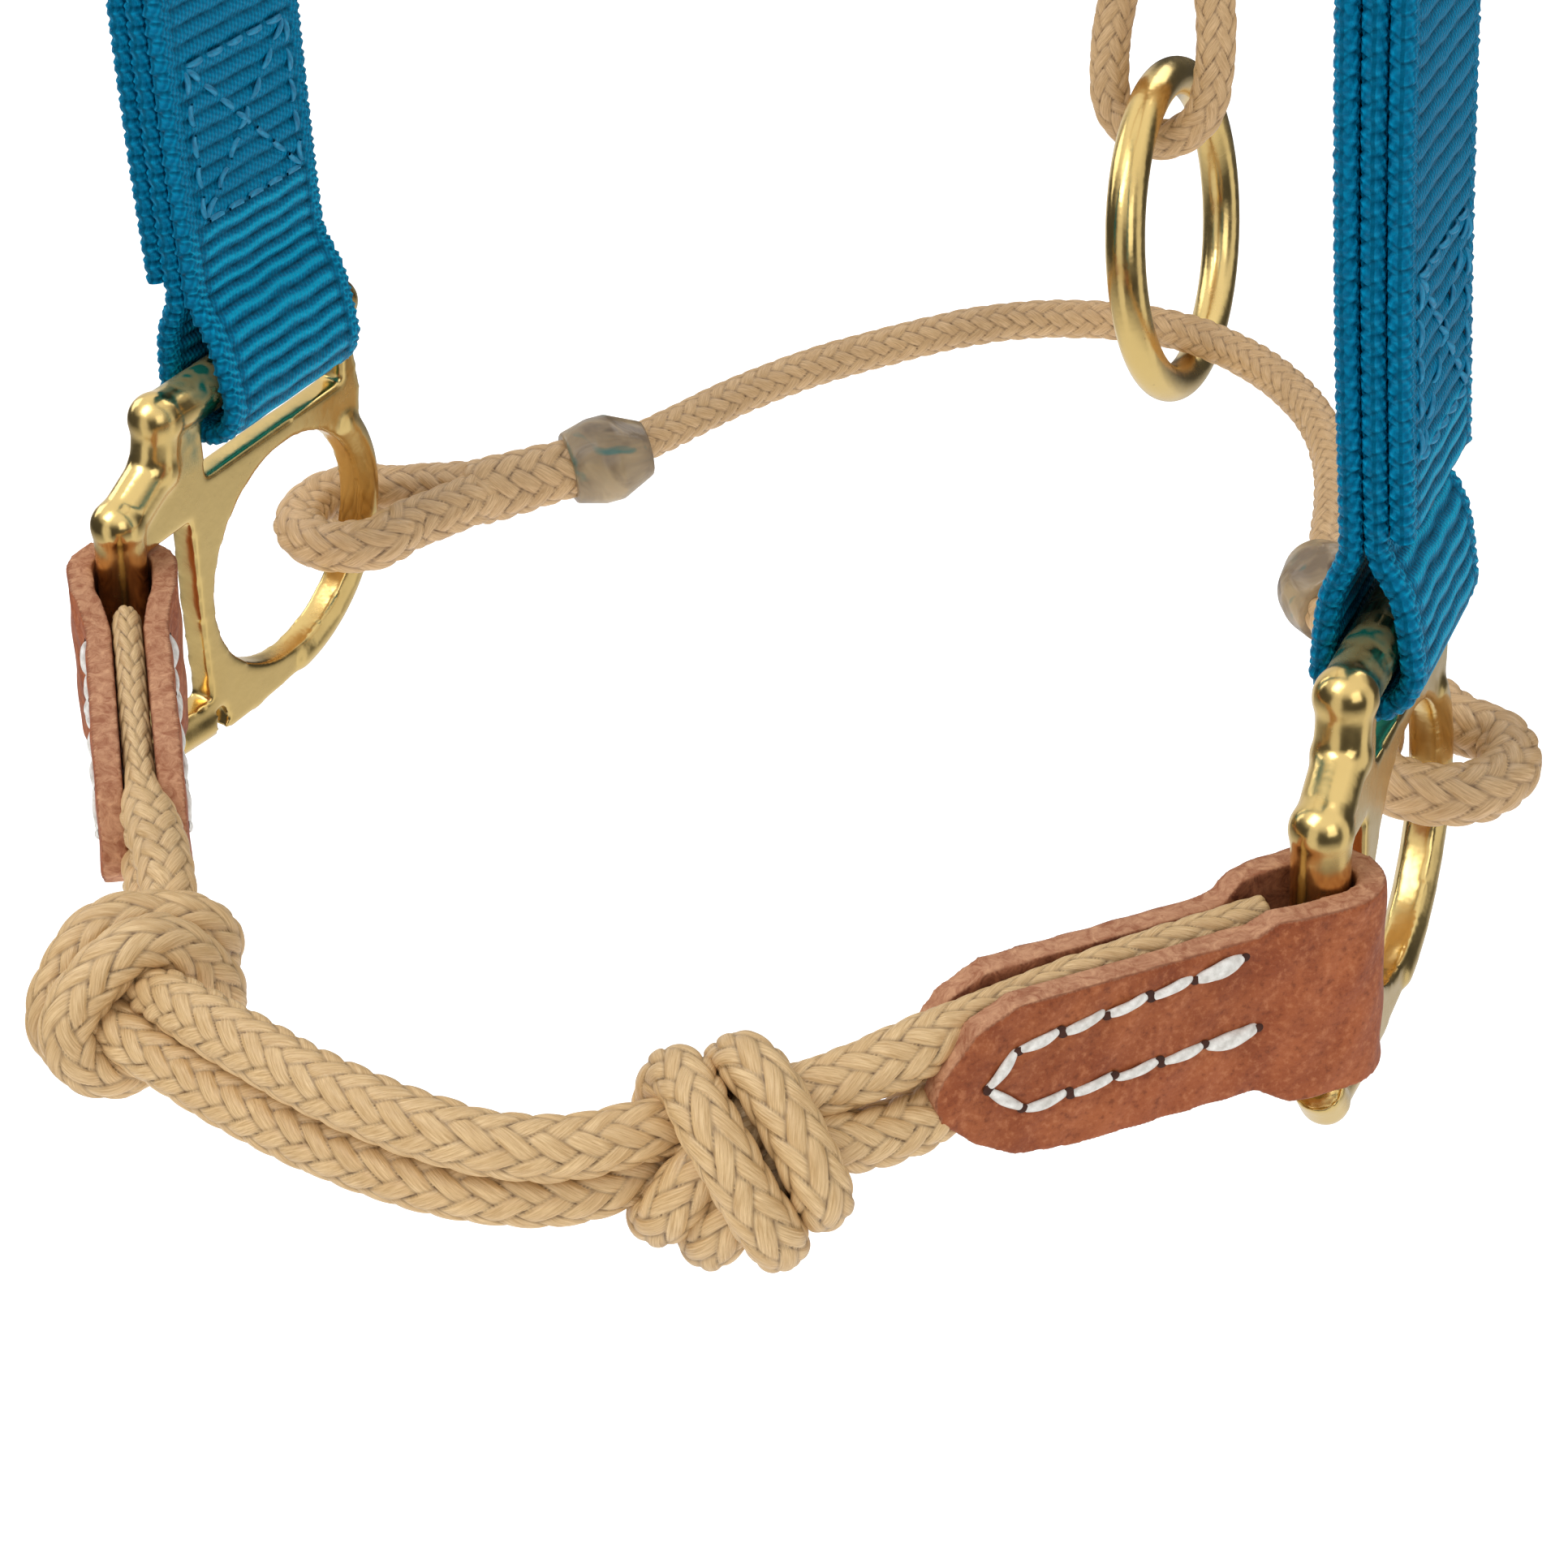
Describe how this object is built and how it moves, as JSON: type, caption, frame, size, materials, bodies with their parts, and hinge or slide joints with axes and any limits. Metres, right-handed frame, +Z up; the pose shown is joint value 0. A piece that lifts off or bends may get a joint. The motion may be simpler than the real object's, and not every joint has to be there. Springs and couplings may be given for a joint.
{
  "type": "rope halter",
  "caption": "Horse halter with a knotted rope noseband sewn into leather tabs, cast brass side fittings, webbing cheeks and crown, a rope chin strap, and a ring under the chin.",
  "frame": {"origin": "where the crown strap rests on the poll: the middle of its inside face at the top of the arch", "axes": "+Z up towards the poll, +Y from the nose to the chin, +X to the side that carries the buckle"},
  "size_m": [0.1651, 0.2256, 0.473],
  "materials": {
    "brass": "polished, slightly tarnished near the webbing",
    "nose_rope": "braided, satin",
    "chin_rope": "braided, satin",
    "leather": "oiled, matt grain",
    "thread_white": "waxed thread",
    "webbing": "ribbed weave, satin",
    "thread_blue": "thread",
    "rope_clamp": "fused, translucent brown grey"
  },
  "bodies": {
    "crown": {"square_ring_left": "brass", "square_ring_right": "brass", "crown_strap": "webbing", "crown_stitching": "thread_blue", "crown_eyelets": "brass", "buckle_strap": "webbing", "buckle_stitching": "thread_blue", "buckle_frame": "brass", "throat_rope": "chin_rope", "throat_clamp_left": "rope_clamp", "throat_clamp_right": "rope_clamp"},
    "left_cheek": {"cheek_strap_left": "webbing", "cheek_stitching_left": "thread_blue"},
    "right_cheek": {"cheek_strap_right": "webbing", "cheek_stitching_right": "thread_blue"},
    "noseband": {"nose_rope_upper": "nose_rope", "nose_rope_lower": "nose_rope", "nose_tab_left": "leather", "nose_tab_right": "leather", "nose_tab_stitching_left": "thread_white", "nose_tab_stitching_right": "thread_white", "casting_left": "brass", "casting_right": "brass"},
    "chin_strap": {"chin_rope": "chin_rope", "chin_clamp_left": "rope_clamp", "chin_clamp_right": "rope_clamp"},
    "chin_ring": {"chin_ring": "brass"},
    "jaw_rope": {"jaw_rope": "chin_rope", "jaw_clamp_lower": "rope_clamp", "jaw_clamp_upper": "rope_clamp"},
    "tongue": {"buckle_tongue": "brass"},
    "keeper": {"strap_keeper": "leather"}
  },
  "joints": [
    {"name": "left_cheek_swing", "type": "hinge", "parent": "crown", "child": "left_cheek", "pos_m": [-0.0605, 0, -0.2455], "axis": [0, 1, 0], "range_deg": [-5, 5]},
    {"name": "noseband_swing", "type": "hinge", "parent": "left_cheek", "child": "noseband", "pos_m": [-0.06757, 0.00081, -0.41986], "axis": [0.0178, 0.9998, 0], "range_deg": [-4.6, 4.6]},
    {"name": "right_cheek_swing", "type": "hinge", "parent": "crown", "child": "right_cheek", "pos_m": [0.0635, 0, -0.2455], "axis": [0, 1, 0], "range_deg": [-5.1, 5.1]},
    {"name": "jaw_rope_swing", "type": "hinge", "parent": "crown", "child": "jaw_rope", "pos_m": [0.0015, 0.124, -0.3325], "axis": [0, 0.9687, -0.2481], "range_deg": [-10.5, 10.5]},
    {"name": "chin_strap_lift", "type": "hinge", "parent": "noseband", "child": "chin_strap", "pos_m": [-0.0706, 0.0196, -0.4523], "axis": [0.9996, -0.0224, 0.0196], "range_deg": [0, 8]},
    {"name": "chin_ring_swing", "type": "hinge", "parent": "chin_strap", "child": "chin_ring", "pos_m": [0.0107, 0.1036, -0.4484], "axis": [0.9884, 0.0539, 0.1418], "range_deg": [-9, 9]},
    {"name": "buckle_tongue_lift", "type": "hinge", "parent": "crown", "child": "tongue", "pos_m": [0.0635, 0, -0.1525], "axis": [0, 1, 0], "range_deg": [0, 2]},
    {"name": "keeper_slide", "type": "slide", "parent": "crown", "child": "keeper", "axis": [0, 0, 1], "range_m": [-0.006, 0.01]}
  ],
  "couplings": [
    {"joint": "noseband_swing", "follows": "left_cheek_swing", "ratio": -0.8984},
    {"joint": "right_cheek_swing", "follows": "left_cheek_swing", "ratio": 0.9909},
    {"joint": "jaw_rope_swing", "follows": "left_cheek_swing", "ratio": 2.05}
  ]
}
